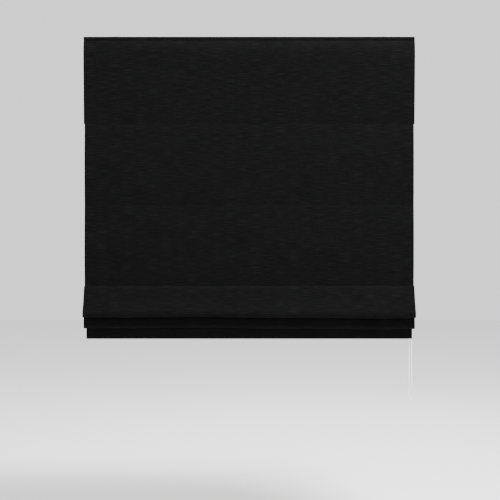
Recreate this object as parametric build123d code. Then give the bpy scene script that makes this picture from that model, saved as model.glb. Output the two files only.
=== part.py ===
from build123d import *
import math
import os

# Roman blind for a window recess. Millimetres, +Z up, -Y to the room, +X to the control side.
# The origin is the middle of the top fixing face, the upper face of the two brackets.

# Overall sizes
blind_width = 1000.0
rod_spacing = 244.5
first_rod_drop = 265.0
gathered_pitch = 8.0
skirt_length = 144.0
flat_pockets = 3
gathered_pockets = 2
fold_4_drop = 94.0
fold_5_drop = 120.0

# Fabric
fabric = 0.8
seam_gap = 0.3
fabric_y = -18.5
bulge = 3.6
body_narrowing = 3.0
skirt_narrowing = 8.0

# Headrail
rail_depth = 38.0
rail_height = 40.0
rail_wall = 1.6
bracket_plate = 2.0
groove_width = 22.0
groove_depth = 4.0
hook_groove_depth = 2.0
hook_groove_height = 3.0
rail_mouth = 24.0
rail_end_space = 16.0
tape_height = 22.0
tape_thickness = 1.3
tape_clearance = 0.2
tape_margin = 4.0
heading_drop = 12.0

# Brackets
bracket_spacing = 800.0
bracket_width = 24.0
bracket_steel = 1.0
screw_spacing = 12.0
screw_radius = 2.2

# Drive
shaft_y = 4.0
shaft_drop = 23.0
shaft_square = 5.0
cord_radius = 0.6
drum_flange = 13.0
flange_plate = 1.2
drum_width = 12.0
journal_length = 4.0
drum_play = 0.6
cradle_plate = 1.6
cradle_fit = 0.4
cradle_half = 8.0
cord_slot = 3.0
journal_radius = 4.5
running_gap = 0.06
shaft_play = 0.3
end_cap_wall = 2.0
cord_spacing = 350.0

# Control and chain
chain_pitch = 6.0
bead_radius = 2.25
wheel_pockets = 12
wheel_width = 8.0
housing_wall = 1.4
housing_width = 15.0
loop_drop = 1102.0
loop_turn = 31.6
loop_lean = 0.4
chain_parting = 1.4
chain_arc = 9.8
hub_radius = 3.4
bead_play = 0.3

# Rods, rings and bottom bar
rod_radius = 2.0
sleeve_outer = 2.7
sleeve_inner = 2.15
sleeve_gap = 0.4
sleeve_margin = 22.0
rod_margin = 19.0
cap_length = 6.0
ring_radius = 3.2
ring_wire = 0.9
ring_gap = 0.2
lock_radius = 4.2
lock_length = 11.0
bar_height = 20.0
bar_thickness = 3.0
bar_margin = 8.0
bar_gap = 0.3
bar_lift = 6.6
bar_cap = 3.0
bar_edge = 1.0

# Sizes that follow from those
half_width = blind_width / 2
rail_top = -bracket_plate
rail_bottom = rail_top - rail_height
rail_front = -rail_depth / 2
rail_half = half_width - rail_end_space
shaft_z = -shaft_drop
wheel_radius = wheel_pockets * chain_pitch / (2 * math.pi)
chain_x = half_width - 9.0
rod_y = fabric_y + fabric / 2 + sleeve_gap + sleeve_outer
cord_y = rod_y + sleeve_outer + ring_gap + ring_wire + ring_radius
drum_radius = shaft_y - cord_y - cord_radius
heading_y = rail_front - 2 * tape_thickness - fabric / 2 - tape_clearance
crease_z = rail_top - heading_drop

rod_z = [-first_rod_drop]
while len(rod_z) < flat_pockets:
    rod_z.append(rod_z[-1] - rod_spacing)
while len(rod_z) < flat_pockets + gathered_pockets:
    rod_z.append(rod_z[-1] - gathered_pitch)
skirt_bottom = rod_z[-1] - skirt_length
cord_lines = [-cord_spacing, 0.0, cord_spacing]


def block(x0, x1, y0, y1, z0, z1):
    """A box between two corners."""
    size = (abs(x1 - x0), abs(y1 - y0), abs(z1 - z0))
    return Pos((x0 + x1) / 2, (y0 + y1) / 2, (z0 + z1) / 2) * Box(*size)


def bar(radius, x0, x1, y, z):
    """A round bar along X."""
    return Pos((x0 + x1) / 2, y, z) * Rot(0, 90, 0) * Cylinder(radius, abs(x1 - x0))


def post(radius, x, y, z0, z1):
    """A round bar along Z."""
    return Pos(x, y, (z0 + z1) / 2) * Cylinder(radius, abs(z1 - z0))


def offset_line(points, distance):
    """The points of a line in YZ, moved sideways by a distance."""
    moved = []
    for i, (y, z) in enumerate(points):
        before = points[max(i - 1, 0)]
        after = points[min(i + 1, len(points) - 1)]
        dy = after[0] - before[0]
        dz = after[1] - before[1]
        long = math.hypot(dy, dz)
        moved.append((y - distance * dz / long, z + distance * dy / long))
    return moved


def direction(points, i):
    """The way a line in YZ runs at one of its points."""
    before = points[max(i - 1, 0)]
    after = points[min(i + 1, len(points) - 1)]
    return Vector(0, after[0] - before[0], after[1] - before[1]).normalized()


def cloth(points, half):
    """A sheet of fabric: a curve in YZ given the fabric's thickness and drawn out along X."""
    ways = [direction(points, i) for i in range(len(points))]
    faces = [[Vector(0, y, z) for y, z in offset_line(points, side * fabric / 2)] for side in (1, -1)]
    front, back = faces
    outline = [Line(front[-1], back[-1]), Line(back[0], front[0])]
    for face in faces:
        for i in range(len(points) - 1):
            outline.append(Spline(face[i], face[i + 1], tangents=(ways[i], ways[i + 1])))
    return Pos(-half, 0, 0) * extrude(make_face(outline), amount=2 * half, dir=(1, 0, 0))


def swelling(top, bottom, count=6):
    """Points down the upper half of a hanging pocket, from a seam out to the middle of its belly."""
    steps = [i / (count - 1) for i in range(count)]
    return [(fabric_y - bulge * math.sin(math.pi * t / 2), top + (bottom - top) * t) for t in steps]


def closing(top, bottom, count=6):
    """Points down the lower half of a hanging pocket, from its belly back to a seam."""
    steps = [i / (count - 1) for i in range(count)]
    return [(fabric_y - bulge * math.cos(math.pi * t / 2), top + (bottom - top) * t) for t in steps]


def sprocket_pocket(i):
    """One bead seat of the chain wheel."""
    a = 2 * math.pi * i / wheel_pockets
    y = shaft_y + wheel_radius * math.sin(a)
    z = shaft_z + wheel_radius * math.cos(a)
    return Pos(chain_x, y, z) * Sphere(bead_radius + 0.5)


def save(name, solids):
    """One file for a node, with one or more solids."""
    made = solids if isinstance(solids, list) else [solids]
    parts = [s for shape in made for s in shape.solids()]
    export_step(Compound(parts) if len(parts) > 1 else parts[0], f"parts/{name}.step")


os.makedirs("parts", exist_ok=True)

# Headrail: a box section, open below between two lips, with a screw-head channel and hook grooves
rail = block(-rail_half, rail_half, -rail_depth / 2, rail_depth / 2, rail_bottom, rail_top)
rail -= block(
    -half_width, half_width, -groove_width / 2, groove_width / 2, rail_top - groove_depth, rail_top + 1
)
hook_z = rail_top - 5.0
for side in (-1, 1):
    wall = side * rail_depth / 2
    inner = wall - side * hook_groove_depth
    rail -= block(-half_width, half_width, inner, wall + side, hook_z - hook_groove_height, hook_z)
cavity_top = rail_top - groove_depth - rail_wall
cavity_half = rail_depth / 2 - rail_wall
upper_half = cavity_half - hook_groove_depth
shoulder_z = hook_z - hook_groove_height - rail_wall
rail -= block(-half_width, half_width, -upper_half, upper_half, cavity_top, shoulder_z)
rail -= block(-half_width, half_width, -cavity_half, cavity_half, shoulder_z, rail_bottom + rail_wall)
rail -= block(
    -half_width, half_width, -rail_mouth / 2, rail_mouth / 2, rail_bottom - 1, rail_bottom + rail_wall
)
save("headrail", rail)

# Brackets: a folded clip with a front hook and a rear hook, and two screw holes
for name, middle in (("bracket_left", -bracket_spacing / 2), ("bracket_right", bracket_spacing / 2)):
    x0 = middle - bracket_width / 2
    x1 = middle + bracket_width / 2
    clip = block(x0, x1, -rail_depth / 2 - bracket_steel, rail_depth / 2 + bracket_steel, rail_top, 0)
    for side in (-1, 1):
        wall = side * rail_depth / 2
        hook_low = hook_z - hook_groove_height / 2
        clip += block(x0, x1, wall, wall + side * bracket_steel, hook_low, rail_top)
        clip += block(
            x0, x1, wall - side * (hook_groove_depth - 0.5), wall, hook_low, hook_low + bracket_steel
        )
    for y in (-screw_spacing / 2, screw_spacing / 2):
        clip -= post(screw_radius, middle, y, rail_top - 1, 1)
    save(name, clip)

# Hook tape on the rail's face, and the loop tape sewn behind the fabric's heading
tape_top = hook_z - hook_groove_height - 1.0
tape_bottom = tape_top - tape_height
tape_half = rail_half - tape_margin
save(
    "hook_tape", block(-tape_half, tape_half, rail_front - tape_thickness, rail_front, tape_bottom, tape_top)
)
loop_front = rail_front - 2 * tape_thickness
loop_tape = block(-tape_half, tape_half, loop_front, rail_front - tape_thickness, tape_bottom, tape_top)
save("loop_tape", loop_tape)

# Shaft, cord drums and their cradles
shaft_left = -rail_half - 4.0
shaft_right = chain_x + 1.0
half_square = shaft_square / 2


def square_bar(x0, x1):
    """The shaft's square section between two places along X."""
    low = (shaft_y - half_square, shaft_z - half_square)
    return block(x0, x1, low[0], low[0] + shaft_square, low[1], low[1] + shaft_square)


shaft = square_bar(shaft_left, shaft_right)
bore = square_bar(-half_width, half_width)
save("drive_shaft", shaft)

drums = []
cradles = []
for x in cord_lines:
    half_drum = drum_width / 2
    drum = bar(drum_radius, x - half_drum, x + half_drum, shaft_y, shaft_z)
    for side in (-1, 1):
        drum += bar(
            drum_flange, x + side * (half_drum - flange_plate), x + side * half_drum, shaft_y, shaft_z
        )
        drum += bar(
            journal_radius, x + side * half_drum, x + side * (half_drum + journal_length), shaft_y, shaft_z
        )
    drums.append(drum - bore)
    base_top = rail_bottom + rail_wall + cradle_plate
    outer = half_drum + drum_play + cradle_plate
    cradle = block(
        x - outer,
        x + outer,
        cradle_fit - cavity_half,
        cavity_half - cradle_fit,
        base_top - cradle_plate,
        base_top,
    )
    for side in (-1, 1):
        inside = x + side * (half_drum + drum_play)
        outside = x + side * outer
        cradle += block(inside, outside, shaft_y - cradle_half, shaft_y + cradle_half, base_top, shaft_z + 7)
    cradle -= bar(journal_radius + running_gap, x - outer - 1, x + outer + 1, shaft_y, shaft_z)
    cradle -= block(x - 4, x + 4, cord_y - cord_slot, cord_y + cord_slot, rail_bottom, base_top + 1)
    cradles.append(cradle)
save("cord_drums", drums)
save("drum_cradles", cradles)

# Left end cap, with a bearing for the shaft's end
cap_x = -half_width + 0.8
cap_low = rail_bottom + end_cap_wall
cap_high = rail_top - end_cap_wall
cap = block(cap_x, -rail_half, -rail_depth / 2, rail_depth / 2, rail_bottom, rail_top)
cap -= bar(shaft_square * 0.75 + shaft_play, -rail_half - 6, -rail_half + 1, shaft_y, shaft_z)
cap -= block(cap_x + end_cap_wall, -rail_half, -rail_depth / 2 + end_cap_wall, shaft_y - 7, cap_low, cap_high)
cap -= block(cap_x + end_cap_wall, -rail_half, shaft_y + 7, rail_depth / 2 - end_cap_wall, cap_low, cap_high)
save("end_cap_left", cap)

# Control unit at the right: housing, cover, chain wheel, clutch core and clutch spring
house_x0 = rail_half
house_x1 = rail_half + housing_width
house_back = shaft_y + wheel_radius + bead_radius + 1.0 + housing_wall
housing = block(house_x0, house_x1 - housing_wall, -rail_depth / 2, house_back, rail_bottom, rail_top)
well_radius = wheel_radius + bead_radius + 0.8
well_x0 = chain_x - wheel_width / 2 - 0.4
housing -= bar(well_radius, well_x0, house_x1, shaft_y, shaft_z)
housing -= block(well_x0, house_x1, shaft_y - well_radius, shaft_y + well_radius, rail_bottom - 1, shaft_z)
housing -= bar(journal_radius + 0.4, house_x0 - 1, house_x1, shaft_y, shaft_z)
save("control_housing", housing)
cover = block(house_x1 - housing_wall, house_x1, -rail_depth / 2, house_back, rail_bottom, rail_top)
cover -= bar(hub_radius, house_x1 - 3, house_x1 + 1, shaft_y, shaft_z)
save("control_cover", cover)

wheel_x0 = chain_x - wheel_width / 2
wheel_x1 = chain_x + wheel_width / 2
wheel = bar(wheel_radius + 0.9, wheel_x0, wheel_x1, shaft_y, shaft_z)
groove = Pos(chain_x, shaft_y, shaft_z) * Rot(0, 90, 0) * Torus(wheel_radius, bead_radius + bead_play)
wheel -= groove
for i in range(wheel_pockets):
    wheel -= sprocket_pocket(i)
wheel -= bar(6.2, wheel_x0 - 1, wheel_x1 - 1.6, shaft_y, shaft_z)
wheel -= bore
wheel += bar(hub_radius - running_gap, wheel_x1, house_x1 - 0.2, shaft_y, shaft_z)
save("chain_wheel", wheel)

core = bar(journal_radius, house_x0 - 10, wheel_x1 - 2.2, shaft_y, shaft_z)
core -= bar(half_square * 1.42 + 0.25, house_x0 - 11, wheel_x1, shaft_y, shaft_z)
core += block(
    house_x0 - 10, house_x0 - 6, shaft_y - 11, shaft_y - journal_radius + 0.5, shaft_z - 3, shaft_z + 3
)
core += block(
    house_x0 - 10, house_x0 - 6, shaft_y + journal_radius - 0.5, shaft_y + 11, shaft_z - 3, shaft_z + 3
)
save("clutch_core", core)

coils = Helix(pitch=1.3, height=5.2, radius=journal_radius + 0.85)
wire = Plane(coils @ 0, z_dir=coils % 0) * Circle(0.5)
spring = sweep(wire, path=coils, is_frenet=True)
save("clutch_spring", Pos(wheel_x0 + 0.6, shaft_y, shaft_z) * Rot(0, 90, 0) * spring)

# Bead chain: over the wheel, down both sides and round the loop at the bottom, which hangs turned
turn = math.radians(loop_turn)
loop_x = chain_x - loop_lean
wheel_top = shaft_z + wheel_radius
loop_low = -loop_drop + bead_radius
swing_x = wheel_radius * math.sin(turn)
swing_y = wheel_radius * math.cos(turn)
route = [
    Vector(chain_x, shaft_y - chain_parting, wheel_top),
    Vector(chain_x, shaft_y - wheel_radius, wheel_top),
    Vector(loop_x - swing_x, shaft_y - swing_y, loop_low),
    Vector(loop_x + swing_x, shaft_y + swing_y, loop_low),
    Vector(chain_x, shaft_y + wheel_radius, wheel_top),
    Vector(chain_x, shaft_y + chain_parting, wheel_top),
]
radii = [chain_arc, wheel_radius - 0.1, wheel_radius - 0.1, chain_arc]
chain_line = FilletPolyline(*route, radius=radii)
chain_section = Plane(chain_line @ 0, z_dir=chain_line % 0) * Circle(bead_radius)
chain = sweep(chain_section, path=chain_line, transition=Transition.ROUND)
save("chain", chain)
print("chain length", round(chain_line.length, 1), "bead radius", bead_radius)
print("chain arc radii", [round(r, 2) for r in radii])
tube_volume = math.pi * bead_radius**2 * chain_line.length
print("chain volume", round(chain.volume), "section by length", round(tube_volume))

# Fabric pockets. Each has an upper half, down to its fold, and a lower half, down to the next rod
body_half = half_width - body_narrowing
fold_z = [(crease_z - first_rod_drop - 40) / 2]
for k in range(1, flat_pockets):
    fold_z.append(rod_z[k - 1] - (rod_spacing + gathered_pitch) / 2)
for k in range(gathered_pockets):
    fold_z.append(rod_z[flat_pockets - 1 + k] - (fold_4_drop, fold_5_drop)[k])

middle_y = fabric_y - bulge
heading = [(heading_y, rail_top - 1.0), (heading_y, crease_z), (heading_y - 0.5, -28.0), (heading_y, -46.0)]
heading += [(middle_y + 0.4, -80.0), (middle_y, -120.0), (middle_y, fold_z[0] + seam_gap / 2)]
save("fabric_1_upper", cloth(heading, half_width))
for k in range(flat_pockets):
    if k > 0:
        top = rod_z[k - 1] - seam_gap / 2
        save(f"fabric_{k + 1}_upper", cloth(swelling(top, fold_z[k] + seam_gap / 2), body_half))
    down = closing(fold_z[k] - seam_gap / 2, rod_z[k] + seam_gap / 2)
    save(f"fabric_{k + 1}_lower", cloth(down, body_half))

# The two gathered pockets hang as loops, in front of the rods
top = rod_z[flat_pockets - 1] - seam_gap / 2
low = fold_z[flat_pockets] + fabric / 2
loop = [(0, 0), (-2.5, -3.3), (-5.1, -8.8), (-9.5, -21.8), (-17.5, -45.8), (-26.5, -65.8), (-33.0, -80.0)]
loop = [(fabric_y + y, top + z) for y, z in loop]
loop += [(fabric_y - 32.5, low + 4.5), (fabric_y - 28.2, low)]
save("fabric_4_upper", cloth(loop, half_width - 1.0))
loop = [(fabric_y - 27.4, low), (fabric_y - 23.0, low + 2.0), (fabric_y - 19.5, low + 9.0)]
loop += [(fabric_y - 14.5, low + 28.0), (fabric_y - 11.0, low + 48.0), (fabric_y - 7.5, low + 69.6)]
top = rod_z[flat_pockets] + seam_gap / 2
loop += [(fabric_y - 4.9, top - 7.7), (fabric_y - 2.0, top)]
save("fabric_4_lower", cloth(loop, half_width - 2.0))

top = rod_z[flat_pockets] - seam_gap / 2
low = fold_z[flat_pockets + 1] + fabric / 2
loop = [(0, 0), (-2.4, -4.3), (-3.8, -9.8), (-4.7, -22.8), (-6.5, -47.8), (-10.5, -77.8), (-14.5, -102.8)]
loop = [(fabric_y + y, top + z) for y, z in loop]
loop += [(fabric_y - 15.0, low + 6.6), (fabric_y - 11.0, low)]
save("fabric_5_upper", cloth(loop, half_width - 1.5))
loop = [(fabric_y - 10.0, low), (fabric_y - 7.8, low + 3.6), (fabric_y - 6.5, low + 13.6)]
loop += [(fabric_y - 5.1, low + 36.6), (fabric_y - 3.7, low + 66.6), (fabric_y - 2.9, low + 91.6)]
top = rod_z[-1] + seam_gap / 2
loop += [(fabric_y - 2.4, top - 6.0), (fabric_y - 1.8, top)]
save("fabric_5_lower", cloth(loop, half_width - 2.5))

# Skirt, with a hem turned up round the bottom bar
skirt_half = half_width - skirt_narrowing
bar_y = fabric_y + fabric / 2 + 2 * bar_gap + bar_thickness / 2
back_y = bar_y + bar_thickness / 2 + bar_gap + fabric / 2
low = skirt_bottom + fabric / 2
top = rod_z[-1] - seam_gap / 2
front_y = bar_y - bar_thickness / 2 - bar_gap - fabric / 2
hem = [(fabric_y, top), (fabric_y - 0.1, top - 30), (fabric_y, top - 80), (front_y, low + 32)]
hem += [(front_y, low + step) for step in (24, 16, 10, 6)]
hem += [(front_y + 0.6, low + 2.2), (bar_y, low), (back_y - 0.6, low + 2.2)]
hem += [(back_y, low + step) for step in (6, 10, 16, 22, 28)]
save("skirt", cloth(hem, skirt_half))

bar_half = skirt_half - bar_margin
bar_low = low + bar_lift
bottom_bar = block(
    -bar_half, bar_half, bar_y - bar_thickness / 2, bar_y + bar_thickness / 2, bar_low, bar_low + bar_height
)
save("bottom_bar", fillet(bottom_bar.edges().filter_by(Axis.X), bar_edge))
bar_caps = []
for side in (-1, 1):
    end = side * bar_half
    tip = block(
        end,
        end + side * bar_cap,
        bar_y - bar_thickness / 2,
        bar_y + bar_thickness / 2,
        bar_low,
        bar_low + bar_height,
    )
    bar_caps.append(fillet(tip.edges().filter_by(Axis.X), bar_edge))
save("bottom_bar_caps", bar_caps)

# Rods in their sleeves, with end caps, cord rings and the lift cords between them
sleeve_half = body_half - sleeve_margin
rod_half = body_half - rod_margin
cord_top = shaft_z
for k, z in enumerate(rod_z):
    number = k + 1
    save(f"rod_{number}", bar(rod_radius, -rod_half, rod_half, rod_y, z))
    sleeve = bar(sleeve_outer, -sleeve_half, sleeve_half, rod_y, z)
    sleeve -= bar(sleeve_inner, -sleeve_half - 1, sleeve_half + 1, rod_y, z)
    save(f"rod_sleeve_{number}", sleeve)
    ends = []
    rings = []
    cords = []
    for side in (-1, 1):
        tip = bar(sleeve_outer, side * (sleeve_half + 0.5), side * (rod_half + cap_length - 3), rod_y, z)
        tip -= bar(rod_radius, side * (sleeve_half - 1), side * rod_half, rod_y, z)
        ends.append(tip)
    for x in cord_lines:
        ring = Pos(x, cord_y, z) * Torus(ring_radius, ring_wire)
        foot = block(x - 1.5, x + 1.5, rod_y + 1, cord_y - ring_radius + 0.5, z - 0.8, z + 0.8)
        foot -= bar(sleeve_outer, x - 3, x + 3, rod_y, z)
        rings.append(ring + foot)
        cords.append(post(cord_radius, x, cord_y, z, cord_top - seam_gap))
    save(f"rod_caps_{number}", ends)
    save(f"cord_rings_{number}", rings)
    save(f"lift_cords_{number}", cords)
    cord_top = z

# Cord locks tie the cords off under the last rings
locks = []
for x in cord_lines:
    low_end = rod_z[-1] - ring_wire - 0.1
    lock = post(lock_radius, x, cord_y, low_end - lock_length, low_end)
    locks.append(fillet(lock.edges().filter_by(GeomType.CIRCLE), 1.2))
save("cord_locks", locks)
print("rods at", [round(z, 1) for z in rod_z], "folds at", [round(z, 1) for z in fold_z])
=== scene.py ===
import logging
import math
from dataclasses import dataclass, field
from enum import Enum
from typing import Sequence

import bpy
import numpy as np
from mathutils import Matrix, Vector


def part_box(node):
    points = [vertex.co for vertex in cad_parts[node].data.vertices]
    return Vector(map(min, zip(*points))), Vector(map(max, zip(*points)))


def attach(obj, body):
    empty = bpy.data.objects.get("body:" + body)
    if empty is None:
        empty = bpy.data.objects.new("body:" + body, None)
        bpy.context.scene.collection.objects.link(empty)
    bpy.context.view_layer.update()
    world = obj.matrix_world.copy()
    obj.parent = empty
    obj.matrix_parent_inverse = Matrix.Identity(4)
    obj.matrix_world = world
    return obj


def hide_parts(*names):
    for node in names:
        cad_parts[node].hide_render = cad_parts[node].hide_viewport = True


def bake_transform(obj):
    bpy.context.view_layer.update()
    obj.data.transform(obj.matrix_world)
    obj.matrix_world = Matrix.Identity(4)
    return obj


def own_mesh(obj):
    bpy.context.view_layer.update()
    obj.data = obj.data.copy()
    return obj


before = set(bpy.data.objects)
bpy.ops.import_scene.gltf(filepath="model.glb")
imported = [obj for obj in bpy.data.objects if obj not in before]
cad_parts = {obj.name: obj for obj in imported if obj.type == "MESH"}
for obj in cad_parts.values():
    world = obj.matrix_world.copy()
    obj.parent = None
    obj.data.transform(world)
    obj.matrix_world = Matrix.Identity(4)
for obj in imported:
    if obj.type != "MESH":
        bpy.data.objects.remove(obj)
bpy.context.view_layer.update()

LOG = logging.getLogger("roman_blind")
MM = 0.001
CORD_LINES = (-0.35, 0.0, 0.35)
CLOTH_LINE = -18.5

Array = np.ndarray


# ---------------------------------------------------------------- named options


class Side(Enum):
    """The faces of the blind's cloth, in the order of its materials."""

    FACE = 0
    LINING = 1
    HEM_FACE = 2
    HEM_BACK = 3


class Weave(Enum):
    """How a cloth is woven: thread pitch in metres, strength of the slubs, depth of the threads."""

    SLUB_LINEN = (0.00085, 1.0, 1.0)
    COTTON_SATEEN = (0.00045, 0.25, 0.6)
    NARROW_TAPE = (0.0006, 0.1, 0.9)


class Sheen(Enum):
    """Surface finish of a hard part, as base roughness and its spread."""

    MATTE = (0.62, 0.12)
    SATIN = (0.38, 0.10)
    GLOSS = (0.16, 0.06)


CLOTH_OF = {
    Side.FACE: "black_cloth",
    Side.LINING: "white_lining",
    Side.HEM_FACE: "black_cloth",
    Side.HEM_BACK: "black_cloth",
}


# ---------------------------------------------------------------- mesh helpers


def grid_faces(rows: int, columns: int, closed: bool = False) -> Array:
    """Quads of a grid of rows by columns points, its columns joined round if closed.

    Args:
        rows: number of points down the grid.
        columns: number of points across it.
        closed: whether the last column joins the first.

    Returns:
        An array of four point numbers for each quad.
    """
    across = columns if closed else columns - 1
    r, c = np.meshgrid(np.arange(rows - 1), np.arange(across), indexing="ij")
    right = (c + 1) % columns
    above, below = r * columns, (r + 1) * columns
    return np.stack([above + c, below + c, below + right, above + right], axis=-1).reshape(-1, 4)


def halved(quads: Array) -> Array:
    """Each quad as two triangles."""
    return np.concatenate([quads[:, [0, 1, 2]], quads[:, [0, 2, 3]]])


def fan(centre: int, i: Array, j: Array) -> Array:
    """Triangles from a centre point to each pair of neighbours on a ring."""
    return np.stack([np.full(len(i), centre), i, j], axis=1)


def stations(points: Array) -> Array:
    """How far along a line each of its points is."""
    return np.concatenate([[0.0], np.cumsum(np.linalg.norm(np.diff(points, axis=0), axis=1))])


def length_of(points: Array) -> float:
    """The length of a line of points."""
    return float(np.linalg.norm(np.diff(points, axis=0), axis=1).sum())


def rod_heights() -> list[float]:
    """The heights of the five rods' middles, from the frame."""
    return [float((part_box(f"rod_{k}")[0][2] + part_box(f"rod_{k}")[1][2]) / 2) for k in range(1, 6)]


def make_piece(name: str, points: Array, faces: Array, smooth: bool = True) -> bpy.types.Object:
    """Makes an object at the origin from whole arrays of points and faces.

    Args:
        name: the piece's name.
        points: an array of points, in metres.
        faces: an array of triangles or quads.
        smooth: whether it is shaded smooth.

    Returns:
        The new object, linked to the scene.
    """
    mesh = bpy.data.meshes.new(name)
    mesh.from_pydata(points.reshape(-1, 3).tolist(), [], faces.tolist())
    mesh.polygons.foreach_set("use_smooth", np.full(len(mesh.polygons), smooth))
    mesh.update()
    piece = bpy.data.objects.new(name, mesh)
    bpy.context.scene.collection.objects.link(piece)
    return piece


def sharpen_rim(piece: bpy.types.Object, rows: int, columns: int) -> None:
    """Marks the outer edges of a grid as sharp, so that its cut edge doesn't shade round into its face.

    Args:
        piece: an object made from a grid.
        rows: number of points down the grid.
        columns: number of points across it.
    """
    mesh = piece.data
    ends = np.zeros(2 * len(mesh.edges), np.int32)
    mesh.edges.foreach_get("vertices", ends)
    row, column = np.divmod(ends.reshape(-1, 2), columns)
    along_row = ((row == 0) | (row == rows - 1)).all(1)
    along_side = ((column == 0) | (column == columns - 1)).all(1)
    sharp = mesh.attributes.new("sharp_edge", "BOOLEAN", "EDGE")
    sharp.data.foreach_set("value", along_row | along_side)


def set_uv(piece: bpy.types.Object, uv: Array) -> None:
    """Writes one UV pair for each point of a piece, in metres along the cloth.

    Args:
        piece: the object.
        uv: an array with a row for each of its points.
    """
    mesh = piece.data
    layer = mesh.uv_layers.new(name="cloth")
    loops = np.zeros(len(mesh.loops), np.int32)
    mesh.loops.foreach_get("vertex_index", loops)
    layer.data.foreach_set("uv", uv.reshape(-1, 2)[loops].astype(np.float32).ravel())


def copies(points: Array, faces: Array, places: Array) -> tuple[Array, Array]:
    """One shape repeated: every copy is the shape's points plus that copy's place.

    Args:
        points: the shape's points.
        faces: its faces.
        places: an array with the place of each copy.

    Returns:
        The points and faces of all the copies together.
    """
    all_points = (places[:, None, :] + points[None, :, :]).reshape(-1, 3)
    steps = np.arange(len(places))[:, None, None] * len(points)
    return all_points, (faces[None, :, :] + steps).reshape(-1, faces.shape[1])


def ball(radius: float, around: int = 7, down: int = 5) -> tuple[Array, Array]:
    """A low sphere: rings of latitude at equal angles, its two poles closed by triangles.

    Args:
        radius: the sphere's radius.
        around: points on each ring.
        down: number of bands from pole to pole.

    Returns:
        Its points and its faces, as triangles.
    """
    lat = np.linspace(0, math.pi, down + 1)[1:-1]
    lon = np.arange(around) * 2 * math.pi / around
    a, b = np.meshgrid(lat, lon, indexing="ij")
    rings = np.stack([np.sin(a) * np.cos(b), np.sin(a) * np.sin(b), np.cos(a)], axis=-1).reshape(-1, 3)
    points = np.concatenate([rings, [[0, 0, 1], [0, 0, -1]]]) * radius
    sides = halved(grid_faces(down - 1, around, closed=True))
    top, low, last = len(rings), len(rings) + 1, (down - 2) * around
    i = np.arange(around)
    j = (i + 1) % around
    return points, np.concatenate([sides, fan(top, i, j), fan(low, last + j, last + i)])


def tube(path: Array, radius: float, sides: int = 8) -> tuple[Array, Array]:
    """A round tube: a circle across the path at each of its points, its ends closed by a centre point.

    Args:
        path: the points that it follows.
        radius: its radius.
        sides: points on each circle.

    Returns:
        Its points and its faces, as triangles.
    """
    ahead = np.gradient(path, axis=0)
    ahead /= np.linalg.norm(ahead, axis=1, keepdims=True)
    side = np.cross(ahead, [1.0, 0.0, 0.0])
    side /= np.linalg.norm(side, axis=1, keepdims=True)
    other = np.cross(ahead, side)
    turn = np.arange(sides) * 2 * math.pi / sides
    ring = side[:, None] * np.cos(turn)[None, :, None] + other[:, None] * np.sin(turn)[None, :, None]
    points = np.concatenate([(path[:, None] + radius * ring).reshape(-1, 3), path[[0, -1]]])
    wall = halved(grid_faces(len(path), sides, closed=True)[:, ::-1])
    i = np.arange(sides)
    j = (i + 1) % sides
    first, last, end = len(path) * sides, len(path) * sides + 1, (len(path) - 1) * sides
    return points, np.concatenate([wall, fan(first, j, i), fan(last, end + i, end + j)])


def evenly(curve: Array, count: int) -> Array:
    """The curve again as count points, evenly spaced along its length.

    Args:
        curve: an array of points.
        count: how many points to give.

    Returns:
        The new points.
    """
    along = stations(curve)
    at = np.linspace(0, along[-1], count)
    return np.stack([np.interp(at, along, curve[:, k]) for k in range(curve.shape[1])], axis=1)


def smooth_curve(knots: Sequence[Sequence[float]], steps: int = 40) -> Array:
    """A smooth curve through knots: between two, the cubic whose slopes are those of the chords beside each.

    Args:
        knots: the points to pass through.
        steps: points in each span.

    Returns:
        The curve as an array of points.
    """
    p = np.array(knots, float)
    along = stations(p)
    slope = np.gradient(p, along, axis=0)
    t = np.linspace(0, 1, steps, endpoint=False)[:, None]
    h00, h10, h01, h11 = 2 * t**3 - 3 * t**2 + 1, t**3 - 2 * t**2 + t, -2 * t**3 + 3 * t**2, t**3 - t**2
    long = np.diff(along)[:, None, None]
    spans = h00 * p[:-1, None] + h10 * long * slope[:-1, None]
    spans = spans + h01 * p[1:, None] + h11 * long * slope[1:, None]
    return np.concatenate([spans.reshape(-1, p.shape[1]), p[-1:]])


# ---------------------------------------------------------------- shader groups


def new_group(name: str, inputs: Sequence[tuple[str, float]], outputs: Sequence[str]) -> bpy.types.NodeTree:
    """A shader node group with named number inputs and outputs.

    Args:
        name: the group's name.
        inputs: pairs of an input's name and its default.
        outputs: the outputs' names.

    Returns:
        The new group, with its input and output nodes in it.
    """
    group = bpy.data.node_groups.new(name, "ShaderNodeTree")
    for label, value in inputs:
        socket = group.interface.new_socket(label, in_out="INPUT", socket_type="NodeSocketFloat")
        socket.default_value = value
    for label in outputs:
        group.interface.new_socket(label, in_out="OUTPUT", socket_type="NodeSocketFloat")
    group.nodes.new("NodeGroupInput").name = "in"
    group.nodes.new("NodeGroupOutput").name = "out"
    return group


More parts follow.
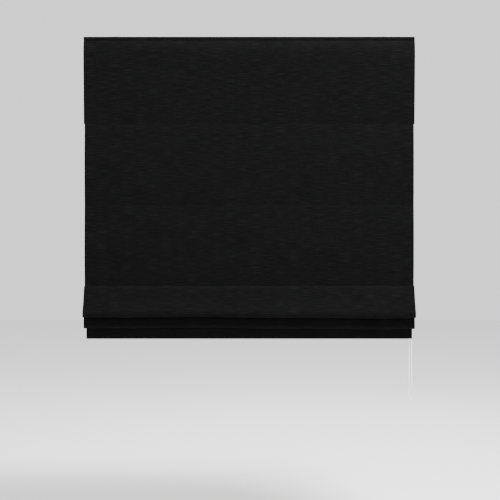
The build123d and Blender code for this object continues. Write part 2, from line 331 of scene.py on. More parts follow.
@dataclass
class Wiring:
    """Short calls that put nodes into a tree and join them.

    Args:
        tree: the node tree that is added to.
    """

    tree: bpy.types.NodeTree

    def node(self, kind: str, **values: object) -> bpy.types.Node:
        """Adds a node of a kind, and sets its own properties."""
        made = self.tree.nodes.new(kind)
        for key, value in values.items():
            setattr(made, key, value)
        return made

    def join(self, source: bpy.types.NodeSocket, target: bpy.types.NodeSocket) -> None:
        """Links an output to an input."""
        self.tree.links.new(source, target)

    def put(self, target: bpy.types.NodeSocket, value: object) -> None:
        """Sets an input to a number, or links it to an output."""
        if isinstance(value, bpy.types.NodeSocket):
            self.join(value, target)
        else:
            target.default_value = value

    def math(self, operation: str, a: object, b: object = 0.0, c: object = 0.0) -> bpy.types.NodeSocket:
        """A Math node on two or three values, and its output."""
        made = self.node("ShaderNodeMath", operation=operation)
        for socket, value in zip(made.inputs, (a, b, c)):
            self.put(socket, value)
        return made.outputs[0]

    def stretched(
        self, vector: bpy.types.NodeSocket, x: object, y: object, z: object
    ) -> bpy.types.NodeSocket:
        """A vector with each part multiplied by its own number."""
        parts = self.node("ShaderNodeCombineXYZ")
        for socket, value in zip(parts.inputs, (x, y, z)):
            self.put(socket, value)
        made = self.node("ShaderNodeVectorMath", operation="MULTIPLY")
        self.join(vector, made.inputs[0])
        self.join(parts.outputs[0], made.inputs[1])
        return made.outputs[0]

    def noise(self, vector: bpy.types.NodeSocket, scale: float, detail: float = 3.0) -> bpy.types.NodeSocket:
        """A noise texture's value at a vector."""
        made = self.node("ShaderNodeTexNoise")
        self.join(vector, made.inputs["Vector"])
        made.inputs["Scale"].default_value = scale
        made.inputs["Detail"].default_value = detail
        return made.outputs[0]

    def ramp(
        self, value: bpy.types.NodeSocket, low: float, high: float, a: float, b: float
    ) -> bpy.types.NodeSocket:
        """A value mapped from low..high to a..b, and kept inside."""
        made = self.node("ShaderNodeMapRange")
        self.join(value, made.inputs["Value"])
        for label, number in (("From Min", low), ("From Max", high), ("To Min", a), ("To Max", b)):
            made.inputs[label].default_value = number
        return made.outputs[0]

    def mix(
        self, share: bpy.types.NodeSocket, a: Sequence[float], b: Sequence[float]
    ) -> bpy.types.NodeSocket:
        """A colour between two, by a share from 0 to 1."""
        made = self.node("ShaderNodeMix", data_type="RGBA")
        self.join(share, made.inputs[0])
        made.inputs[6].default_value = (*a, 1.0)
        made.inputs[7].default_value = (*b, 1.0)
        return made.outputs[2]

    def bump(
        self, height: bpy.types.NodeSocket, distance: float, strength: float = 1.0
    ) -> bpy.types.NodeSocket:
        """A Bump node's normal for a height."""
        made = self.node("ShaderNodeBump")
        self.join(height, made.inputs["Height"])
        made.inputs["Distance"].default_value = distance
        made.inputs["Strength"].default_value = strength
        return made.outputs[0]


def weave_group() -> bpy.types.NodeTree:
    """Woven cloth on the UV map: crossed sine ridges at the thread pitch, with long thick threads across.

    Returns:
        The group, with outputs Height, Tone and Fuzz.
    """
    inputs = (("Threads per metre", 1200.0), ("Slub", 1.0), ("Thread depth", 1.0))
    group = new_group("woven_cloth", inputs, ("Height", "Tone", "Fuzz"))
    w = Wiring(group)
    given, out = group.nodes["in"], group.nodes["out"]
    uv = w.node("ShaderNodeUVMap", uv_map="cloth").outputs[0]
    parts = w.node("ShaderNodeSeparateXYZ")
    wander = w.noise(w.stretched(uv, 60.0, 60.0, 1.0), 1.0, 2.0)
    w.join(uv, parts.inputs[0])
    turns = w.math("MULTIPLY", given.outputs[0], 2 * math.pi)
    shift = w.math("MULTIPLY", wander, 14.0)
    weft = w.math("SINE", w.math("MULTIPLY_ADD", parts.outputs[1], turns, shift))
    warp = w.math("SINE", w.math("MULTIPLY_ADD", parts.outputs[0], turns, shift))
    crossed = w.math("MULTIPLY", w.math("ADD", weft, w.math("MULTIPLY", warp, 0.6)), given.outputs[2])
    slub = w.noise(w.stretched(uv, 26.0, 620.0, 1.0), 1.0, 4.0)
    streak = w.noise(w.stretched(uv, 420.0, 30.0, 1.0), 1.0, 3.0)
    thick = w.ramp(slub, 0.48, 0.72, 0.0, 1.0)
    raised = w.math("MULTIPLY", w.math("MULTIPLY_ADD", streak, 0.4, thick), given.outputs[1])
    w.join(w.math("MULTIPLY_ADD", raised, 1.6, w.math("MULTIPLY", crossed, 0.45)), out.inputs[0])
    patch = w.noise(w.stretched(uv, 9.0, 14.0, 1.0), 1.0, 3.0)
    tone = w.math("MULTIPLY_ADD", raised, 0.6, w.math("MULTIPLY_ADD", patch, 0.2, 0.1))
    w.join(tone, out.inputs[1])
    w.join(w.noise(w.stretched(uv, 2600.0, 2600.0, 1.0), 1.0, 1.0), out.inputs[2])
    return group


def surface_group() -> bpy.types.NodeTree:
    """Handled hard surface on Object coordinates: broad smudges, fine grain and long drawn streaks along X.

    Returns:
        The group, with outputs Smudge, Grain and Streak.
    """
    group = new_group("handled_surface", (("Size", 1.0), ("Amount", 1.0)), ("Smudge", "Grain", "Streak"))
    w = Wiring(group)
    given, out = group.nodes["in"], group.nodes["out"]
    place = w.node("ShaderNodeTexCoord").outputs["Object"]
    scaled = w.stretched(place, given.outputs[0], given.outputs[0], given.outputs[0])
    for i, (stretch, scale, detail) in enumerate(
        (((1.0, 1.0, 1.0), 35.0, 5.0), ((1.0, 1.0, 1.0), 1400.0, 2.0), ((0.02, 1.0, 1.0), 900.0, 3.0))
    ):
        value = w.noise(w.stretched(scaled, *stretch), scale, detail)
        w.join(w.math("MULTIPLY", value, given.outputs[1]), out.inputs[i])
    return group


# ---------------------------------------------------------------- finishes


def fresh_material(name: str) -> tuple[bpy.types.Material, Wiring, bpy.types.Node]:
    """A new material with nothing but a Principled BSDF and its output.

    Args:
        name: the material's name.

    Returns:
        The material, the wiring of its tree, and the shader node.
    """
    material = bpy.data.materials.new(name)
    material.use_nodes = True
    wiring = Wiring(material.node_tree)
    return material, wiring, material.node_tree.nodes["Principled BSDF"]


@dataclass(frozen=True)
class ClothFinish:
    """A woven cloth: two tones, its weave, roughness and the soft glow of its loose fibres."""

    name: str
    dark: tuple[float, float, float]
    light: tuple[float, float, float]
    weave: Weave
    roughness: float = 0.9
    fibre_glow: float = 0.1
    relief: float = 0.00012
    gloss: float = 0.12

    def build(self, group: bpy.types.NodeTree) -> bpy.types.Material:
        """Makes the material with the shared weave group.

        Args:
            group: the woven cloth group.

        Returns:
            The material.
        """
        material, w, shader = fresh_material(self.name)
        weave = w.node("ShaderNodeGroup", node_tree=group)
        pitch, slub, depth = self.weave.value
        weave.inputs[0].default_value = 1.0 / pitch
        weave.inputs[1].default_value = slub
        weave.inputs[2].default_value = depth
        w.join(w.mix(weave.outputs["Tone"], self.dark, self.light), shader.inputs["Base Color"])
        rough = w.ramp(weave.outputs["Fuzz"], 0.0, 1.0, self.roughness - 0.08, self.roughness + 0.06)
        w.join(rough, shader.inputs["Roughness"])
        shader.inputs["Sheen Weight"].default_value = self.fibre_glow
        shader.inputs["Sheen Roughness"].default_value = 0.55
        shader.inputs["Specular IOR Level"].default_value = self.gloss
        height = w.math("MULTIPLY_ADD", weave.outputs["Fuzz"], 0.5, weave.outputs["Height"])
        w.join(w.bump(height, self.relief), shader.inputs["Normal"])
        return material


@dataclass(frozen=True)
class HardFinish:
    """A moulded, drawn or rolled hard surface."""

    name: str
    colour: tuple[float, float, float]
    worn: tuple[float, float, float]
    sheen: Sheen
    metal: float = 0.0
    drawn: float = 0.0
    clarity: float = 0.0

    def build(self, group: bpy.types.NodeTree) -> bpy.types.Material:
        """Makes the material with the shared surface group.

        Args:
            group: the handled surface group.

        Returns:
            The material.
        """
        material, w, shader = fresh_material(self.name)
        handled = w.node("ShaderNodeGroup", node_tree=group)
        worn = w.ramp(handled.outputs["Smudge"], 0.35, 0.8, 0.0, 1.0)
        w.join(w.mix(worn, self.colour, self.worn), shader.inputs["Base Color"])
        middle, spread = self.sheen.value
        marks = w.math("MULTIPLY_ADD", handled.outputs["Streak"], self.drawn, handled.outputs["Smudge"])
        w.join(w.ramp(marks, 0.2, 1.2, middle - spread, middle + spread), shader.inputs["Roughness"])
        shader.inputs["Metallic"].default_value = self.metal
        shader.inputs["Transmission Weight"].default_value = self.clarity
        shader.inputs["Coat Weight"].default_value = 0.0
        height = w.math("MULTIPLY_ADD", handled.outputs["Streak"], self.drawn, handled.outputs["Grain"])
        w.join(w.bump(height, 0.00002, 0.6), shader.inputs["Normal"])
        return material


FINISHES = (
    ClothFinish(
        "black_cloth",
        (0.0010, 0.0010, 0.0010),
        (0.0062, 0.0064, 0.0063),
        Weave.SLUB_LINEN,
        roughness=0.9,
        fibre_glow=0.006,
        gloss=0.012,
    ),
    ClothFinish(
        "white_lining", (0.40, 0.395, 0.365), (0.66, 0.65, 0.61), Weave.COTTON_SATEEN, 0.8, relief=0.00006
    ),
    ClothFinish("sewn_tape", (0.66, 0.65, 0.61), (0.84, 0.83, 0.79), Weave.NARROW_TAPE, 0.82, relief=0.00008),
    ClothFinish(
        "braided_cord", (0.58, 0.57, 0.53), (0.82, 0.81, 0.77), Weave.NARROW_TAPE, 0.7, relief=0.0001
    ),
    ClothFinish(
        "black_thread",
        (0.0035, 0.0035, 0.0036),
        (0.011, 0.011, 0.011),
        Weave.NARROW_TAPE,
        roughness=0.6,
        fibre_glow=0.01,
        relief=0.00004,
        gloss=0.06,
    ),
    HardFinish("black_tape", (0.018, 0.018, 0.019), (0.040, 0.040, 0.041), Sheen.MATTE),
    HardFinish("drawn_aluminium", (0.78, 0.78, 0.77), (0.66, 0.66, 0.66), Sheen.SATIN, 0.85, 0.8),
    HardFinish("plain_aluminium", (0.60, 0.60, 0.61), (0.50, 0.50, 0.50), Sheen.SATIN, 1.0, 0.9),
    HardFinish("zinc_steel", (0.56, 0.57, 0.58), (0.42, 0.42, 0.41), Sheen.SATIN, 1.0, 0.2),
    HardFinish("shaft_steel", (0.42, 0.42, 0.43), (0.30, 0.30, 0.30), Sheen.SATIN, 1.0, 0.9),
    HardFinish("spring_wire", (0.30, 0.30, 0.31), (0.20, 0.20, 0.21), Sheen.SATIN, 1.0, 0.2),
    HardFinish("white_moulding", (0.80, 0.80, 0.78), (0.70, 0.69, 0.66), Sheen.SATIN),
    HardFinish("drum_moulding", (0.62, 0.62, 0.60), (0.50, 0.50, 0.48), Sheen.SATIN),
    HardFinish("clear_moulding", (0.82, 0.83, 0.83), (0.70, 0.71, 0.71), Sheen.GLOSS, 0.0, 0.0, 0.35),
    HardFinish("chain_bead", (0.83, 0.83, 0.81), (0.74, 0.74, 0.72), Sheen.GLOSS),
    HardFinish("rod_fibreglass", (0.70, 0.69, 0.60), (0.60, 0.58, 0.50), Sheen.SATIN, 0.0, 0.6),
)


@dataclass
class Finishes:
    """All the finished materials, built once and found by name."""

    made: dict[str, bpy.types.Material] = field(default_factory=dict)

    def build(self) -> None:
        """Builds the two shared groups, then each finish."""
        weave, surface = weave_group(), surface_group()
        for finish in FINISHES:
            group = weave if isinstance(finish, ClothFinish) else surface
            self.made[finish.name] = finish.build(group)
        LOG.info("finishes: %d", len(self.made))

    def dress(self, piece: bpy.types.Object, *names: str) -> None:
        """Gives a piece its materials, in order."""
        piece.data.materials.clear()
        for name in names:
            piece.data.materials.append(self.made[name])


# ---------------------------------------------------------------- the bead chain


@dataclass
class BeadChain:
    """The bead chain: round beads at an even pitch on a thin string, over the wheel and down in a loop.

    Its line is open, parted at the top of the wheel inside the housing.
    """

    bead_radius: float = 2.25 * MM
    string_radius: float = 0.55 * MM
    pitch: float = 6.0 * MM
    string_step: float = 4.0 * MM
    route: tuple[tuple[float, float, float], ...] = (
        (0.49100, 0.00260, -0.01154),
        (0.49100, -0.00746, -0.01154),
        (0.49084, -0.00742, -0.03854),
        (0.48476, -0.00580, -1.07275),
        (0.48460, -0.00576, -1.09975),
        (0.49660, 0.01376, -1.09975),
        (0.49646, 0.01380, -1.07275),
        (0.49114, 0.01542, -0.03854),
        (0.49100, 0.01546, -0.01154),
        (0.49100, 0.00540, -0.01154),
    )

    def line(self) -> Array:
        """The smooth line through the route, read from its NURBS spline.

        Returns:
            The points along the line.
        """
        curve = bpy.data.curves.new("chain_line", "CURVE")
        curve.dimensions = "3D"
        spline = curve.splines.new("NURBS")
        spline.points.add(len(self.route) - 1)
        flat = np.concatenate([np.array(self.route), np.ones((len(self.route), 1))], axis=1)
        spline.points.foreach_set("co", flat.astype(np.float32).ravel())
        spline.order_u = 3
        spline.use_endpoint_u = True
        spline.resolution_u = 24
        bare = bpy.data.objects.new("chain_line", curve)
        mesh = bpy.data.meshes.new_from_object(bare)
        points = np.empty(len(mesh.vertices) * 3, np.float32)
        mesh.vertices.foreach_get("co", points)
        bpy.data.objects.remove(bare)
        bpy.data.meshes.remove(mesh)
        return points.reshape(-1, 3).astype(float)

    def build(self, finishes: Finishes) -> bpy.types.Object:
        """Args:
            finishes: the finished materials.

        Returns:
            The chain.
        """
        line = self.line()
        long = length_of(line)
        beads = evenly(line, round(long / self.pitch))
        points, faces = copies(*ball(self.bead_radius), beads)
        string, string_faces = tube(evenly(line, round(long / self.string_step)), self.string_radius, 6)
        faces = np.concatenate([faces, string_faces + len(points)])
        chain = make_piece("bead_chain", np.concatenate([points, string]), faces)
        finishes.dress(chain, "chain_bead")
        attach(chain, "headrail_set")
        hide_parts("chain")
        LOG.info("bead chain: %.3f m, %d beads", long, len(beads))
        return chain


# ---------------------------------------------------------------- the fabric

# Knots of the cloth's middle lines, as y and z in millimetres.
HEADING_LINE = -22.2
HEADING = (
    *((0.7, -2.2), (-0.6, -4.4), (-1.0, -8.0), (-0.5, -12.0), (0.25, -14.0), (-0.9, -16.4), (-2.5, -22.0)),
    *((-4.8, -32.0), (-6.0, -44.0), (-6.0, -60.0), (-4.9, -90.0), (-3.2, -130.0), (-1.1, -175.0)),
    *((1.2, -220.0), (2.9, -250.0)),
)
# Each gathered pocket: knots from its upper rod, from its fold's lowest point, and from its lower rod.
GATHERED = {
    4: (
        ((0, 0), (-2.5, -3.3), (-5.1, -8.8), (-9.5, -21.8), (-17.5, -45.8), (-26.5, -65.8), (-33.0, -80.0)),
        ((-32.5, 4.5), (-28.2, 0), (-23.0, 2.0), (-19.5, 9.0), (-14.5, 28.0), (-11.0, 48.0), (-7.5, 69.6)),
        ((-4.9, -7.7), (-2.0, 0), (-1.0, 1.2), (0, 0)),
    ),
    5: (
        ((0, 0), (-2.4, -4.3), (-3.8, -9.8), (-4.7, -22.8), (-6.5, -47.8), (-10.5, -77.8), (-14.5, -102.8)),
        ((-15.0, 6.6), (-11.0, 0), (-7.8, 3.6), (-6.5, 13.6), (-5.1, 36.6), (-3.7, 66.6), (-2.9, 91.6)),
        ((-2.4, -6.0), (-1.8, 0), (-0.9, 1.1), (0, 0)),
    ),
}
SKIRT_TOP = ((0, 0), (-0.1, -30), (0, -80))
# The hem from its front, round its lower edge at the lowest point, and up its back.
SKIRT_HEM = (
    *((-18.2, 32), (-18.2, 12), (-18.2, 5), (-17.6, 1.8), (-16.0, 0), (-14.4, 1.8)),
    *((-13.8, 5), (-13.8, 14), (-13.8, 28)),
)


@dataclass
class FabricFace:
    """The blind's lined cloth: five pockets, each an upper and a lower sheet, and the skirt with its hem.

    The middle line of each pocket is a curve in YZ. The cloth is that curve drawn out across the width,
    moved along its own face direction by a slow wave, and given the thickness of the cloth and its lining.
    """

    thickness: float = 0.8 * MM
    hem_width: float = 34.0 * MM
    hem_extra: float = 0.7 * MM
    hem_columns: int = 9
    hem_gap: float = 0.0016
    columns: int = 150
    row_step: float = 2.6 * MM
    wave: float = 0.9 * MM
    fold_sag: float = 2.8 * MM
    cloth_y: float = CLOTH_LINE * MM
    belly: float = 3.6 * MM
    heading_end: float = -36.0 * MM
    first_reach: float = 0.7
    reach: float = 0.75
    past_rod: float = 1.05
    last_pocket: int = 5
    half_widths: tuple[float, ...] = (0.4995, 0.497, 0.497, 0.4985, 0.498)
    skirt_half: float = 0.492
    travelled: float = 0.0

    def slow_wave(self, x: Array, v: Array) -> Array:
        """How far the cloth stands forward at a place: long sine waves across and down, of unequal lengths.

        Args:
            x: places across the width.
            v: places down the cloth.

        Returns:
            Distances along the face's direction.
        """
        across = np.sin(2 * math.pi * x / 0.61 + 0.7 + 1.3 * np.sin(v * 9.0))
        down = np.sin(2 * math.pi * v / 0.29 + 1.1 * np.sin(2 * math.pi * x / 0.83 + 2.0))
        fine = np.sin(2 * math.pi * x / 0.173 + 2.2 * np.sin(v * 23.0 + 1.0))
        fine = fine * np.sin(2 * math.pi * v / 0.121 + 0.4)
        return self.wave * (0.55 * across * down + 0.22 * fine)

    def pull_at_cords(self, x: Array, v: Array, line: float) -> Array:
        """A small dimple where the cloth is caught by a ring: a bell shape round each cord on a rod's line.

        Args:
            x: places across the width.
            v: places down the cloth.
            line: the rod's place down the cloth.

        Returns:
            Distances backward, so they are negative.
        """
        near = np.exp(-(((x[..., None] - np.array(CORD_LINES)) / 0.028) ** 2)).sum(-1)
        return -0.55 * MM * near * np.exp(-(((v - line) / 0.012) ** 2))

    def sag(self, x: Array) -> Array:
        """How far a soft fold hangs lower across the width: two long waves."""
        long, short = np.sin(1.9 * x * math.pi - 0.35), np.sin(5.3 * x * math.pi + 0.8)
        return self.fold_sag * (0.75 * long + 0.3 * short)

    def across(self) -> Array:
        """Places across the cloth from -1 to 1, with close pairs at the two hems' inner edges.

        Returns:
            The places, in order.
        """
        inner = 1 - self.hem_width / 0.5
        body = np.linspace(-inner, inner, self.columns)
        hem = np.linspace(inner + self.hem_gap, 1, self.hem_columns)
        return np.concatenate([-hem[::-1], body, hem])

    def sheet(
        self,
        name: str,
        curve: Array,
        face: Array,
        start: float,
        half: float,
        rod_lines: Sequence[float],
        sag_rows: Array,
        finishes: Finishes,
        quiet: Array,
    ) -> bpy.types.Object:
        """Makes one sheet from its middle curve.

        Args:
            name: the sheet's name.
            curve: its middle line, as rows of y and z.
            face: the direction of its face at each row.
            start: how far down the cloth its first row is.
            half: half its width.
            rod_lines: the places of rods, down the cloth.
            sag_rows: how much of the fold's sag each row takes.
            finishes: the finished materials.
            quiet: how much of the slow wave each row takes.

        Returns:
            The sheet.
        """
        u = self.across()
        x, v = np.meshgrid(u * half, start + stations(curve))
        lift = self.slow_wave(x, v) * quiet[:, None]
        for line in rod_lines:
            lift = lift + self.pull_at_cords(x, v, line)
        lift = lift + self.thickness / 2
        y = curve[:, 0][:, None] + face[:, 0][:, None] * lift
        z = curve[:, 1][:, None] + face[:, 1][:, None] * lift - sag_rows[:, None] * self.sag(x)
        points = np.stack([x, y, z], axis=-1)
        rows, columns = x.shape
        piece = make_piece(name, points, grid_faces(rows, columns))
        set_uv(piece, np.stack([x, v], axis=-1))
        sharpen_rim(piece, rows, columns)
        quads = np.arange((rows - 1) * (columns - 1)) % (columns - 1)
        edge = self.hem_columns
        hem = (quads < edge) | (quads >= columns - 1 - edge)
        kinds = np.where(hem, Side.HEM_FACE.value, Side.FACE.value)
        finishes.dress(piece, *(CLOTH_OF[side] for side in Side))
        piece.data.polygons.foreach_set("material_index", kinds.astype(np.int32))
        group = piece.vertex_groups.new(name="hem")
        thin = self.thickness / (self.thickness + self.hem_extra)
        column = np.arange(rows * columns) % columns
        in_hem = (column < edge) | (column >= columns - edge)
        group.add(np.flatnonzero(in_hem).tolist(), 1.0, "REPLACE")
        group.add(np.flatnonzero(~in_hem).tolist(), thin, "REPLACE")
        solid = piece.modifiers.new("cloth and lining", "SOLIDIFY")
        solid.thickness = self.thickness + self.hem_extra
        solid.offset = -1.0
        solid.vertex_group = "hem"
        solid.material_offset = Side.LINING.value - Side.FACE.value
        solid.material_offset_rim = 0
        return piece

    def faces_of(self, curve: Array) -> Array:
        """The face's direction along a middle line: its tangent turned a quarter, forward when it goes down.

        Args:
            curve: rows of y and z.

        Returns:
            Unit directions, as rows of y and z.
        """
        t = np.gradient(curve, axis=0)
        t /= np.linalg.norm(t, axis=1, keepdims=True)
        return np.stack([t[:, 1], -t[:, 0]], axis=1)

    def flat_pocket(self, top: float, bottom: float) -> Array:
        """The middle line of a pocket that hangs open: a half sine belly between two rods.

        Args:
            top: height of the upper rod.
            bottom: height of the lower rod.

        Returns:
            Rows of y and z.
        """
        t = np.linspace(0, 1, 200)
        belly = np.sin(math.pi * t) ** 0.8
        return np.stack([self.cloth_y - self.belly * belly, top + (bottom - top) * t], axis=1)

    def heading_pocket(self, bottom: float) -> Array:
        """The first pocket's middle line: the stiff heading, its sewn crease, the tilt below and the belly.

        Args:
            bottom: height of the first rod.

        Returns:
            Rows of y and z.
        """
        return self.line(((HEADING_LINE, 0), HEADING), ((CLOTH_LINE, bottom / MM), ((0, 0),)))

    def line(self, *groups: tuple[tuple[float, float], Sequence[tuple[float, float]]]) -> Array:
        """A middle line through groups of knots, each in millimetres from its group's own place."""
        knots = [np.array(offsets, float) + place for place, offsets in groups]
        return smooth_curve(np.concatenate(knots) * MM)

    def pocket(self, number: int, curve: Array, split: float, finishes: Finishes, folded: bool) -> None:
        """Makes the two sheets of a pocket, cut at its fold.

        Args:
            number: the pocket's number from the top.
            curve: its middle line.
            split: height of the fold when it hangs open; a gathered pocket is cut at its lowest point.
            finishes: the finished materials.
            folded: whether it is gathered.
        """
        half = self.half_widths[number - 1]
        long = length_of(curve)
        curve = evenly(curve, max(20, round(long / (self.row_step * (0.6 if folded else 1.0)))))
        face = self.faces_of(curve)
        middle = int(np.argmin(curve[:, 1] if folded else np.abs(curve[:, 1] - split)))
        t = np.linspace(0, 1, len(curve))
        depth = np.clip((curve[0, 1] - curve[:, 1]) / (curve[0, 1] - curve[middle, 1]), 0, 1)
        sag = depth**3 if folded else np.zeros(len(curve))
        quiet = np.clip(np.minimum(t, 1 - t) * 12, 0.25, 1) * (0.45 if folded else 1.0)
        above = f"rod_{number - 1}_body" if number > 1 else "headrail_set"
        below = f"fold_{number}_body"
        lines = [self.travelled + long] if not folded else []
        if number > 1 and not folded:
            lines.append(self.travelled)
        for half_name, rows, a, b in (
            ("upper", slice(0, middle + 1), above, below),
            ("lower", slice(middle, len(curve)), below, f"rod_{number}_body"),
        ):
            part = curve[rows]
            start = self.travelled + long * t[rows.start]
            name = f"cloth_{number}_{half_name}"
            piece = self.sheet(
                name, part, face[rows], start, half, lines, sag[rows], finishes, quiet[rows]
            )
            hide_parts(f"fabric_{number}_{half_name}")
            bend = [(0.0, float(part[i, 0]), float(part[i, 1])) for i in (0, -1)]
            if not folded and half_name == "upper":
                reach = (self.first_reach if number == 1 else self.reach) * (bend[1][2] - bend[0][2])
                bend[1] = (0.0, bend[1][1], bend[0][2] + reach)
            if number == self.last_pocket and half_name == "lower":
                bend[1] = (0.0, bend[1][1], bend[0][2] + self.past_rod * (bend[1][2] - bend[0][2]))
            if number == 1 and half_name == "upper":
                bend[0] = (0.0, bend[0][1], self.heading_end)
            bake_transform(piece)
        self.travelled += long
        LOG.info("pocket %d: %.1f mm of cloth", number, long / MM)

    def skirt(self, top: float, bottom: float, finishes: Finishes) -> None:
        """The flat piece below the last rod, with its hem turned up behind round the bottom bar.

        Args:
            top: height of the last rod.
            bottom: height of the hem's lower edge.
            finishes: the finished materials.
        """
        high, low = top / MM, bottom / MM + 0.4
        curve = self.line(((CLOTH_LINE, high), SKIRT_TOP), ((0, low), SKIRT_HEM))
        long = length_of(curve)
        curve = evenly(curve, round(long / (self.row_step * 0.55)))
        quiet = np.full(len(curve), 0.35)
        quiet *= np.clip((curve[:, 1] - (bottom + 34 * MM)) / (20 * MM), 0, 1)
        face, still = self.faces_of(curve), np.zeros(len(curve))
        piece = self.sheet(
            "cloth_skirt", curve, face, self.travelled, self.skirt_half, [], still, finishes, quiet
        )
        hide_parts("skirt")
        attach(piece, "rod_5_body")
        self.travelled += long

    def build(self, finishes: Finishes) -> None:
        """Makes every pocket and the skirt.

        Args:
            finishes: the finished materials.
        """
        rods = rod_heights()
        folds = [float(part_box(f"fabric_{k}_upper")[0][2]) for k in range(1, 6)]
        self.pocket(1, self.heading_pocket(rods[0]), folds[0], finishes, False)
        self.pocket(2, self.flat_pocket(rods[0], rods[1]), folds[1], finishes, False)
        self.pocket(3, self.flat_pocket(rods[1], rods[2]), folds[2], finishes, False)
        for number, offsets in GATHERED.items():
            low = folds[number - 1] / MM + 0.4
            heights = (rods[number - 2] / MM, low, rods[number - 1] / MM)
            curve = self.line(*(((CLOTH_LINE, z), knots) for z, knots in zip(heights, offsets)))
            self.pocket(number, curve, folds[number - 1], finishes, True)
        self.skirt(rods[4], float(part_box("skirt")[0][2]), finishes)
        LOG.info("cloth from top to bottom: %.0f mm", self.travelled / MM)


# ---------------------------------------------------------------- sewing


@dataclass
class Stitching:
    """Rows of machine stitches: each a short, low bead of thread that dips into the cloth at both ends."""

    pitch: float = 3.6 * MM
    length: float = 2.7 * MM
    radius: float = 0.32 * MM
    heading_y: float = -0.02245
    heading_z: float = -0.014
    hem_front: float = -0.01865
    hem_back: float = -0.01335
    hem_rise: float = 0.0262

    def stitch(self) -> tuple[Array, Array]:
        """One stitch along X: a circle whose radius falls to nothing at both ends, with five sections.

        Returns:
            Its points and faces.
        """
        t = np.linspace(-1, 1, 5)
        turn = np.arange(6) * math.pi / 3
        r = self.radius * np.sqrt(np.clip(1.02 - t**2, 0.02, 1))
        x = np.repeat((t * self.length / 2)[:, None], 6, axis=1)
        points = np.stack([x, r[:, None] * np.cos(turn), r[:, None] * np.sin(turn)], axis=-1).reshape(-1, 3)
        quads = grid_faces(5, 6, closed=True)[:, ::-1]
        i = np.arange(1, 5)
        return points, np.concatenate([halved(quads), fan(0, i, i + 1)[:, ::-1], fan(24, 24 + i, 25 + i)])

    def row(self, name: str, half: float, y: float, z: float, body: str, finishes: Finishes) -> None:
        """A straight row of stitches across the cloth.

        Args:
            name: the row's name.
            half: half its length.
            y: its depth.
            z: its height.
            body: the body that it rides on.
            finishes: the finished materials.
        """
        x = np.arange(-half, half, self.pitch)
        places = np.stack([x, np.full(len(x), y), np.full(len(x), z)], axis=1)
        places[:, 2] += 0.12 * MM * np.sin(x * 97.0)
        points, faces = copies(*self.stitch(), places)
        piece = make_piece(name, points, faces)
        set_uv(piece, points[:, [0, 2]])
        finishes.dress(piece, "black_thread")
        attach(piece, body)

    def build(self, finishes: Finishes) -> None:
        """Sews the heading and the skirt's hem.

        Args:
            finishes: the finished materials.
        """
        self.row("heading_stitches", 0.494, self.heading_y, self.heading_z, "headrail_set", finishes)
        height = float(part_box("skirt")[0][2]) + self.hem_rise
        self.row("hem_stitches_front", 0.486, self.hem_front, height, "rod_5_body", finishes)
        self.row("hem_stitches_back", 0.486, self.hem_back, height, "rod_5_body", finishes)
        LOG.info("stitching done")


# ---------------------------------------------------------------- rods and cords


@dataclass
class RodSleeves:
    """The tape sleeves that hold the rods behind the cloth: a soft tube round each rod, puckered along it."""

    sides: int = 14
    pucker: float = 0.16 * MM

    def build(self, finishes: Finishes) -> None:
        """Makes a sleeve round each rod, in place of the plain one.

        Args:
            finishes: the finished materials.
        """
        for k in range(1, 6):
            low, high = (np.array(c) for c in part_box(f"rod_sleeve_{k}"))
            middle, radius = (low + high) / 2, (high[2] - low[2]) / 2 - 0.2 * MM
            x = np.linspace(low[0], high[0], 260)
            turn = np.arange(self.sides) * 2 * math.pi / self.sides
            a, b = np.meshgrid(x, turn, indexing="ij")
            ripple = np.sin(a * 310.0 + k) * np.sin(a * 83.0 + 2 * b) * self.pucker
            r = radius + ripple - 0.1 * MM
            points = np.stack([a, middle[1] + r * np.cos(b), middle[2] + r * np.sin(b)], axis=-1)
            piece = make_piece(f"sleeve_{k}", points, grid_faces(len(x), self.sides, closed=True))
            set_uv(piece, np.stack([a, b * radius], axis=-1))
            solid = piece.modifiers.new("tape", "SOLIDIFY")
            solid.thickness = 0.25 * MM
            solid.offset = -1.0
            finishes.dress(piece, "sewn_tape")
            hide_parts(f"rod_sleeve_{k}")
            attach(piece, f"rod_{k}_body")


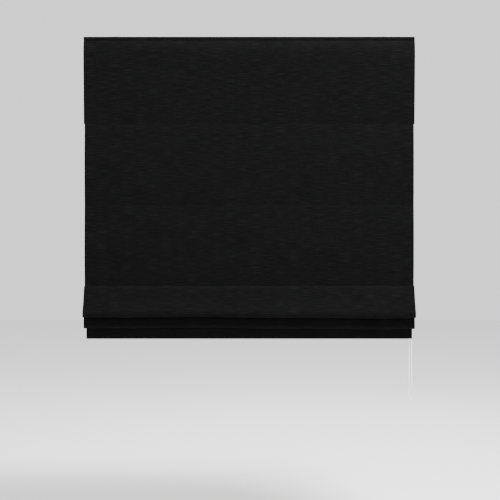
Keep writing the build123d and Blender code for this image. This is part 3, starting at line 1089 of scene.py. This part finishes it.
@dataclass
class LiftCords:
    """The three braided lift cords, in the five lengths between the headrail and the rods.

    The two lengths of the gathered pockets stand inside the one above them, so they are drawn thinner.
    """

    radius: float = 0.6 * MM
    thinner: tuple[float, ...] = (0.0, 0.0, 0.0, 0.06, 0.12)
    left_over: tuple[float, ...] = (0.031, 0.008, 0.008)
    depth: float = -8.0 * MM

    def length(self, number: int, line: int, top: float, low: float, finishes: Finishes) -> bpy.types.Object:
        """One straight length of cord, its surface a circle carried down.

        Args:
            number: the rod that it ends at.
            line: which cord.
            top: height of its upper end.
            low: height of its lower end.
            finishes: the finished materials.

        Returns:
            The length of cord.
        """
        rows = max(8, round((top - low) / 0.004))
        x = CORD_LINES[line]
        path = np.stack([np.full(rows, x), np.full(rows, self.depth), np.linspace(top, low, rows)], axis=1)
        points, faces = tube(path, self.radius - self.thinner[number - 1] * MM)
        piece = make_piece(f"lift_cord_{number}_{'abc'[line]}", points, faces)
        around = np.arctan2(points[:, 1] - self.depth, points[:, 0] - x) * self.radius
        set_uv(piece, np.stack([around, points[:, 2]], axis=-1))
        finishes.dress(piece, "braided_cord")
        return piece

    def build(self, finishes: Finishes) -> None:
        """Makes the lengths of all three cords, each length carried by the body at one of its ends.

        Args:
            finishes: the finished materials.
        """
        rods = rod_heights()
        start = float(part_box("lift_cords_1")[1][2])
        full = rods[1] - rods[2]
        for number in range(1, 6):
            for line in range(3):
                if number <= 3:
                    top = start if number == 1 else rods[number - 2]
                    piece = self.length(number, line, top, rods[number - 1], finishes)
                    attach(piece, "headrail_set" if number == 1 else f"rod_{number - 1}_body")
                    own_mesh(piece)
                else:
                    low = rods[number - 1]
                    piece = self.length(number, line, low + full, low, finishes)
                    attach(piece, f"rod_{number}_body")
                    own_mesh(piece)
                if line == 0:
                    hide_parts(f"lift_cords_{number}")
        LOG.info("lift cords done")


# ---------------------------------------------------------------- hard parts


@dataclass
class HardParts:
    """The solid parts that are shown as they are made, each with its finish."""

    finish_of: dict[str, str] = field(
        default_factory=lambda: {
            "headrail": "drawn_aluminium",
            "bracket_left": "zinc_steel",
            "bracket_right": "zinc_steel",
            "hook_tape": "black_tape",
            "loop_tape": "black_tape",
            "drive_shaft": "shaft_steel",
            "cord_drums": "drum_moulding",
            "drum_cradles": "white_moulding",
            "end_cap_left": "white_moulding",
            "control_housing": "white_moulding",
            "control_cover": "white_moulding",
            "chain_wheel": "drum_moulding",
            "clutch_core": "drum_moulding",
            "clutch_spring": "spring_wire",
            "bottom_bar": "plain_aluminium",
            "bottom_bar_caps": "clear_moulding",
            "cord_locks": "clear_moulding",
        }
    )

    def build(self, finishes: Finishes) -> None:
        """Dresses every part by name, and the numbered rods, caps and rings in a loop.

        Args:
            finishes: the finished materials.
        """
        named = dict(self.finish_of)
        for k in range(1, 6):
            named[f"rod_{k}"] = "rod_fibreglass"
            named[f"rod_caps_{k}"] = "clear_moulding"
            named[f"cord_rings_{k}"] = "clear_moulding"
        for node, finish in named.items():
            finishes.dress(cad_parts[node], finish)
        LOG.info("hard parts: %d", len(named))


# ---------------------------------------------------------------- the studio


@dataclass
class Studio:
    """The camera, a plain pale floor and soft light from above and the right."""

    distance: float = 3.0
    width_in_view: float = 1.5105
    centre: tuple[float, float] = (0.0024, -0.6455)
    cloth_y: float = CLOTH_LINE * MM
    floor_z: float = -1.5
    floor_tone: float = 0.86
    room_light: float = 1.35

    def camera(self) -> None:
        """Places the camera straight in front, so that the view's width at the cloth is the one stated."""
        data = bpy.data.cameras.new("camera")
        data.sensor_width = 36.0
        data.lens = 36.0 * (self.distance + self.cloth_y) / self.width_in_view
        data.dof.use_dof = False
        camera = bpy.data.objects.new("camera", data)
        camera.location = (self.centre[0], -self.distance, self.centre[1])
        camera.rotation_euler = (math.pi / 2, 0, 0)
        bpy.context.scene.collection.objects.link(camera)
        bpy.context.scene.camera = camera

    def floor(self) -> None:
        """Lays the floor below the whole object."""
        half = 9.0
        corners = np.array([(-half, -half, 0), (half, -half, 0), (half, half, 0), (-half, half, 0)], float)
        corners = corners + (0, 0, self.floor_z)
        floor = make_piece("floor", corners, np.array([[0, 1, 2, 3]]), smooth=False)
        material, _, shader = fresh_material("pale_floor")
        shader.inputs["Base Color"].default_value = (self.floor_tone,) * 3 + (1.0,)
        shader.inputs["Roughness"].default_value = 0.9
        floor.data.materials.append(material)

    def lamp(self, name: str, place: Sequence[float], size: tuple[float, float], watts: float) -> None:
        """A soft rectangular lamp that faces the blind's middle.

        Args:
            name: the lamp's name.
            place: where it stands.
            size: its width and height.
            watts: its power.
        """
        data = bpy.data.lights.new(name, "AREA")
        data.shape = "RECTANGLE"
        data.size, data.size_y = size
        data.energy = watts
        lamp = bpy.data.objects.new(name, data)
        lamp.location = place
        way = Vector((0, 0, -0.5)) - Vector(place)
        lamp.rotation_euler = way.to_track_quat("-Z", "Y").to_euler()
        bpy.context.scene.collection.objects.link(lamp)

    def build(self) -> None:
        """Sets up the whole studio."""
        self.camera()
        self.floor()
        world = bpy.data.worlds.new("soft white room")
        world.use_nodes = True
        background = world.node_tree.nodes["Background"]
        background.inputs["Color"].default_value = (0.95, 0.95, 0.95, 1.0)
        background.inputs["Strength"].default_value = self.room_light
        bpy.context.scene.world = world
        self.lamp("key", (1.1, -1.2, 2.3), (1.0, 0.7), 430.0)
        self.lamp("fill", (-2.2, -2.2, 0.2), (1.5, 1.5), 20.0)
        self.lamp("back", (0.6, 2.4, 0.8), (1.6, 1.2), 30.0)


def main() -> None:
    """Builds the studio and every sub-assembly in order."""
    logging.basicConfig(level=logging.INFO, format="%(name)s: %(message)s")
    Studio().build()
    finishes = Finishes()
    finishes.build()
    BeadChain().build(finishes)
    LiftCords().build(finishes)
    FabricFace().build(finishes)
    Stitching().build(finishes)
    RodSleeves().build(finishes)
    HardParts().build(finishes)


if __name__ == "__main__":
    main()
